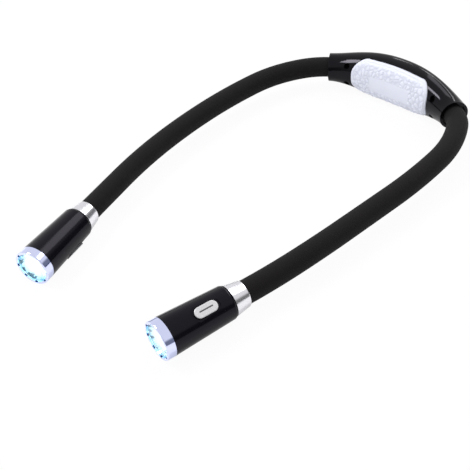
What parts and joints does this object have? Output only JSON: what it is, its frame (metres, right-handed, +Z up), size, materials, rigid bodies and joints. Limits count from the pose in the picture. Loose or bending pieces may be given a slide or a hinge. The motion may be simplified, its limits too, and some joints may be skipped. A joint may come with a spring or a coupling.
{
  "type": "neck_reading_light",
  "caption": "Neck-worn reading light: a curved black housing with a white neck pad and a flexible arm to a push-button lamp head at each end",
  "frame": {"origin": "On the table under the middle of the housing, on the flat land the housing rests on", "axes": "+X along the housing, -Y from the housing towards the lamp heads, +Z up off the table the light lies on"},
  "size_m": [0.1708, 0.2963, 0.0316],
  "materials": {
    "housing_black": "gloss black",
    "pad_white": "soft satin white",
    "tray_plastic": "plain moulded black",
    "cell_label": "plain printed film",
    "contact_metal": "nickel plated",
    "board_green": "solder mask",
    "lead_insulation": "flexible insulation",
    "sleeve_rubber": "matt black foam rubber",
    "core_metal": "soft annealed wire",
    "bright_plating": "polished plating",
    "barrel_black": "gloss black lacquer",
    "lens_clear": "clear polished",
    "reflector_mirror": "polished bowl",
    "lamp_chip": "lit, cool white",
    "switch_plastic": "moulded",
    "button_silver": "satin silver paint"
  },
  "bodies": {
    "housing": {"outer_shell": "housing_black", "inner_shell": "housing_black", "neck_pad": "pad_white", "cell_tray": "tray_plastic", "battery_cells": "cell_label", "contact_plates": "contact_metal", "contact_springs": "contact_metal", "driver_board": "board_green", "link_leads": "lead_insulation", "shell_screws": "contact_metal", "left_arm_anchor": "tray_plastic", "left_sleeve_root": "sleeve_rubber", "left_sleeve_bend_1": "sleeve_rubber", "left_core_wire_1": "core_metal", "left_leads_1": "lead_insulation", "right_arm_anchor": "tray_plastic", "right_sleeve_root": "sleeve_rubber", "right_sleeve_bend_1": "sleeve_rubber", "right_core_wire_1": "core_metal", "right_leads_1": "lead_insulation"},
    "battery_door": {"battery_door": "housing_black"},
    "left_arm_mid": {"left_sleeve_mid": "sleeve_rubber", "left_sleeve_bend_2": "sleeve_rubber", "left_core_wire_2": "core_metal", "left_leads_2": "lead_insulation"},
    "left_arm_front": {"left_sleeve_front": "sleeve_rubber", "left_sleeve_bend_3": "sleeve_rubber", "left_core_wire_3": "core_metal", "left_leads_3": "lead_insulation"},
    "left_head_base": {"left_ferrule": "bright_plating"},
    "left_head": {"left_barrel": "barrel_black", "left_bezel": "bright_plating", "left_lens": "lens_clear", "left_reflector": "reflector_mirror", "left_led_board": "board_green", "left_led": "lamp_chip", "left_lamp_leads": "lead_insulation", "left_switch_board": "board_green", "left_switch": "switch_plastic"},
    "left_button": {"left_button": "button_silver"},
    "right_arm_mid": {"right_sleeve_mid": "sleeve_rubber", "right_sleeve_bend_2": "sleeve_rubber", "right_core_wire_2": "core_metal", "right_leads_2": "lead_insulation"},
    "right_arm_front": {"right_sleeve_front": "sleeve_rubber", "right_sleeve_bend_3": "sleeve_rubber", "right_core_wire_3": "core_metal", "right_leads_3": "lead_insulation"},
    "right_head_base": {"right_ferrule": "bright_plating"},
    "right_head": {"right_barrel": "barrel_black", "right_bezel": "bright_plating", "right_lens": "lens_clear", "right_reflector": "reflector_mirror", "right_led_board": "board_green", "right_led": "lamp_chip", "right_lamp_leads": "lead_insulation", "right_switch_board": "board_green", "right_switch": "switch_plastic"},
    "right_button": {"right_button": "button_silver"}
  },
  "joints": [
    {"name": "battery_door_slide", "type": "slide", "parent": "housing", "child": "battery_door", "axis": [0, 1, 0], "range_m": [0, 0.012]},
    {"name": "left_arm_swing", "type": "hinge", "parent": "housing", "child": "left_arm_mid", "pos_m": [-0.0759, -0.0454, 0.01505], "axis": [0, 0.0147, -0.9999], "range_deg": [-8, 35], "deforming": ["left_sleeve_bend_1", "left_core_wire_1", "left_leads_1"]},
    {"name": "left_arm_lift", "type": "hinge", "parent": "left_arm_mid", "child": "left_arm_front", "pos_m": [-0.08329, -0.13251, 0.01377], "axis": [-0.998, -0.0628, -0.0009], "range_deg": [-50, 50], "deforming": ["left_sleeve_bend_2", "left_core_wire_2", "left_leads_2"]},
    {"name": "left_head_aim", "type": "hinge", "parent": "left_arm_front", "child": "left_head_base", "pos_m": [-0.06851, -0.21542, 0.01255], "axis": [-0.9677, -0.252, -0.0037], "range_deg": [-45, 45], "deforming": ["left_sleeve_bend_3", "left_core_wire_3", "left_leads_3"]},
    {"name": "left_head_twist", "type": "hinge", "parent": "left_head_base", "child": "left_head", "pos_m": [-0.06145, -0.24251, 0.01215], "axis": [0.2521, -0.9676, -0.0142], "range_deg": [-90, 90]},
    {"name": "left_button_press", "type": "slide", "parent": "left_head", "child": "left_button", "axis": [-0.7413, -0.2025, 0.6399], "range_m": [0, 0.0005], "stiffness_N_per_m": 1500, "springref_m": -0.0003},
    {"name": "right_arm_swing", "type": "hinge", "parent": "housing", "child": "right_arm_mid", "pos_m": [0.06872, -0.04293, 0.01509], "axis": [0, -0.0147, 0.9999], "range_deg": [-8, 35], "deforming": ["right_sleeve_bend_1", "right_core_wire_1", "right_leads_1"]},
    {"name": "right_arm_lift", "type": "hinge", "parent": "right_arm_mid", "child": "right_arm_front", "pos_m": [0.0701, -0.13051, 0.0138], "axis": [-0.9971, 0.0767, 0.0011], "range_deg": [-50, 50], "deforming": ["right_sleeve_bend_2", "right_core_wire_2", "right_leads_2"]},
    {"name": "right_head_aim", "type": "hinge", "parent": "right_arm_front", "child": "right_head_base", "pos_m": [0.06213, -0.20807, 0.01266], "axis": [-0.9876, 0.1573, 0.0023], "range_deg": [-45, 45], "deforming": ["right_sleeve_bend_3", "right_core_wire_3", "right_leads_3"]},
    {"name": "right_head_twist", "type": "hinge", "parent": "right_head_base", "child": "right_head", "pos_m": [0.05702, -0.23559, 0.01226], "axis": [-0.1942, -0.9808, -0.0144], "range_deg": [-90, 90]},
    {"name": "right_button_press", "type": "slide", "parent": "right_head", "child": "right_button", "axis": [-0.4993, 0.1115, -0.8592], "range_m": [0, 0.0005], "stiffness_N_per_m": 1500, "springref_m": -0.0003}
  ]
}
